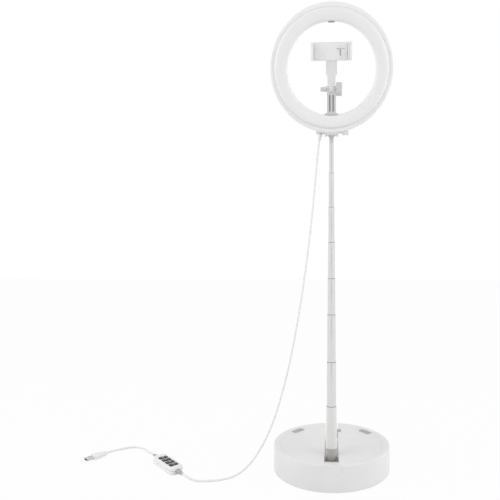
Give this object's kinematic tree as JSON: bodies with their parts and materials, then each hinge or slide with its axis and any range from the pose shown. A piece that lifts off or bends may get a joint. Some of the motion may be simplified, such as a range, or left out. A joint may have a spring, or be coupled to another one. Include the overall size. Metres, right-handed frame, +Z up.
{
  "type": "ring light",
  "caption": "Desk ring light: a tilting lit ring with a phone clamp in it, on a telescopic mast that folds into a slot in the round base, with a USB cord and in-line control.",
  "frame": {"origin": "on the table, under the middle of the round base", "axes": "+Z up along the mast, -Y the way the lit face looks, +X to the right of someone facing the light"},
  "size_m": [0.5764, 0.26, 0.7902],
  "materials": {
    "white_plastic": "satin",
    "cream_plastic": "satin",
    "white_tube": "satin",
    "steel": "satin",
    "weight_iron": "matte",
    "diffuser": "satin",
    "grey_rubber": "matte",
    "pale_rubber": "matte",
    "black_key": "satin",
    "board": "matte",
    "grey_relief": "matte",
    "white_cord": "satin"
  },
  "bodies": {
    "base": {"base_housing": "white_plastic", "base_plate": "white_plastic", "foot_pad": "grey_rubber", "counterweight_left": "weight_iron", "counterweight_right": "weight_iron", "slot_liner": "white_plastic", "hinge_pin": "steel", "base_screw_1": "steel", "base_screw_2": "steel", "base_screw_3": "steel", "base_screw_4": "steel", "ring_rest_left": "grey_rubber", "ring_rest_right": "grey_rubber", "mast_clip": "grey_rubber", "release_spring": "steel", "cord_floor": "white_cord", "cord_tail": "white_cord", "relief_in": "grey_relief", "relief_out": "grey_relief", "remote_top": "white_plastic", "remote_bottom": "white_plastic", "remote_board": "board", "plug_body": "white_plastic", "plug_shell": "steel", "plug_tongue": "white_plastic"},
    "release_button": {"release_button": "white_plastic"},
    "mast": {"mast_knuckle": "cream_plastic", "mast_sleeve": "cream_plastic", "cord_drop": "white_cord"},
    "tube_1": {"tube_1": "white_tube"},
    "tube_2": {"tube_2": "white_tube"},
    "tube_3": {"tube_3": "white_tube"},
    "tube_4": {"tube_4": "white_tube"},
    "tube_5": {"tube_5": "white_tube"},
    "tube_6": {"tube_6": "white_tube"},
    "head": {"tube_7": "white_tube", "head_bracket": "white_plastic", "cord_gland": "pale_rubber", "tilt_bolt": "steel"},
    "tilt_knob": {"tilt_knob": "white_plastic"},
    "ring": {"ring_casing": "white_plastic", "ring_diffuser": "diffuser", "led_board": "board", "ring_lug": "white_plastic", "accessory_socket": "grey_rubber", "holder_stem": "white_plastic", "holder_screw": "steel", "holder_bolt": "white_plastic"},
    "holder_knob": {"holder_knob": "white_plastic"},
    "holder": {"holder_neck": "white_plastic", "clamp_body": "white_plastic", "jaw_spring": "steel", "fixed_pad": "pale_rubber", "bed_pad": "pale_rubber"},
    "jaw": {"sliding_jaw": "white_plastic", "moving_pad": "pale_rubber"},
    "button_1": {"button_1": "black_key"},
    "button_2": {"button_2": "black_key"},
    "button_3": {"button_3": "black_key"},
    "button_4": {"button_4": "black_key"}
  },
  "joints": [
    {"name": "mast_fold", "type": "hinge", "parent": "base", "child": "mast", "pos_m": [0, -0.052, 0.0251], "axis": [-1, 0, 0], "range_deg": [0, 90], "deforming": ["cord_floor"]},
    {"name": "mast_height", "type": "slide", "parent": "mast", "child": "head", "axis": [0, 0, 1], "range_m": [-0.3983, 0], "deforming": ["cord_drop"]},
    {"name": "tube_1_slide", "type": "slide", "parent": "mast", "child": "tube_1", "axis": [0, 0, 1], "range_m": [-0.0697, 0]},
    {"name": "tube_2_slide", "type": "slide", "parent": "mast", "child": "tube_2", "axis": [0, 0, 1], "range_m": [-0.1447, 0]},
    {"name": "tube_3_slide", "type": "slide", "parent": "mast", "child": "tube_3", "axis": [0, 0, 1], "range_m": [-0.2002, 0]},
    {"name": "tube_4_slide", "type": "slide", "parent": "mast", "child": "tube_4", "axis": [0, 0, 1], "range_m": [-0.2557, 0]},
    {"name": "tube_5_slide", "type": "slide", "parent": "mast", "child": "tube_5", "axis": [0, 0, 1], "range_m": [-0.3095, 0]},
    {"name": "tube_6_slide", "type": "slide", "parent": "mast", "child": "tube_6", "axis": [0, 0, 1], "range_m": [-0.3617, 0]},
    {"name": "ring_tilt", "type": "hinge", "parent": "head", "child": "ring", "pos_m": [0, -0.066, 0.6056], "axis": [1, 0, 0], "range_deg": [-60, 70]},
    {"name": "tilt_knob_turn", "type": "hinge", "parent": "head", "child": "tilt_knob", "pos_m": [0, -0.066, 0.6056], "axis": [1, 0, 0], "continuous": true},
    {"name": "holder_tilt", "type": "hinge", "parent": "ring", "child": "holder", "pos_m": [0, -0.10376, 0.6661], "axis": [1, 0, 0], "range_deg": [-45, 45]},
    {"name": "holder_knob_turn", "type": "hinge", "parent": "ring", "child": "holder_knob", "pos_m": [0, -0.10376, 0.6661], "axis": [1, 0, 0], "continuous": true},
    {"name": "jaw_slide", "type": "slide", "parent": "holder", "child": "jaw", "axis": [1, 0, 0], "range_m": [0, 0.018], "stiffness_N_per_m": 70, "springref_m": -0.02, "deforming": ["jaw_spring"]},
    {"name": "release_press", "type": "slide", "parent": "base", "child": "release_button", "axis": [0, 0, -1], "range_m": [0, 0.0015], "stiffness_N_per_m": 600, "deforming": ["release_spring"]},
    {"name": "button_1_press", "type": "slide", "parent": "base", "child": "button_1", "axis": [0, 0, -1], "range_m": [0, 0.0008], "stiffness_N_per_m": 400},
    {"name": "button_2_press", "type": "slide", "parent": "base", "child": "button_2", "axis": [0, 0, -1], "range_m": [0, 0.0008], "stiffness_N_per_m": 400},
    {"name": "button_3_press", "type": "slide", "parent": "base", "child": "button_3", "axis": [0, 0, -1], "range_m": [0, 0.0008], "stiffness_N_per_m": 400},
    {"name": "button_4_press", "type": "slide", "parent": "base", "child": "button_4", "axis": [0, 0, -1], "range_m": [0, 0.0008], "stiffness_N_per_m": 400}
  ],
  "couplings": [
    {"joint": "tube_1_slide", "follows": "mast_height", "ratio": 0.17449},
    {"joint": "tube_2_slide", "follows": "mast_height", "ratio": 0.36279},
    {"joint": "tube_3_slide", "follows": "mast_height", "ratio": 0.50213},
    {"joint": "tube_4_slide", "follows": "mast_height", "ratio": 0.64148},
    {"joint": "tube_5_slide", "follows": "mast_height", "ratio": 0.77655},
    {"joint": "tube_6_slide", "follows": "mast_height", "ratio": 0.90761}
  ]
}
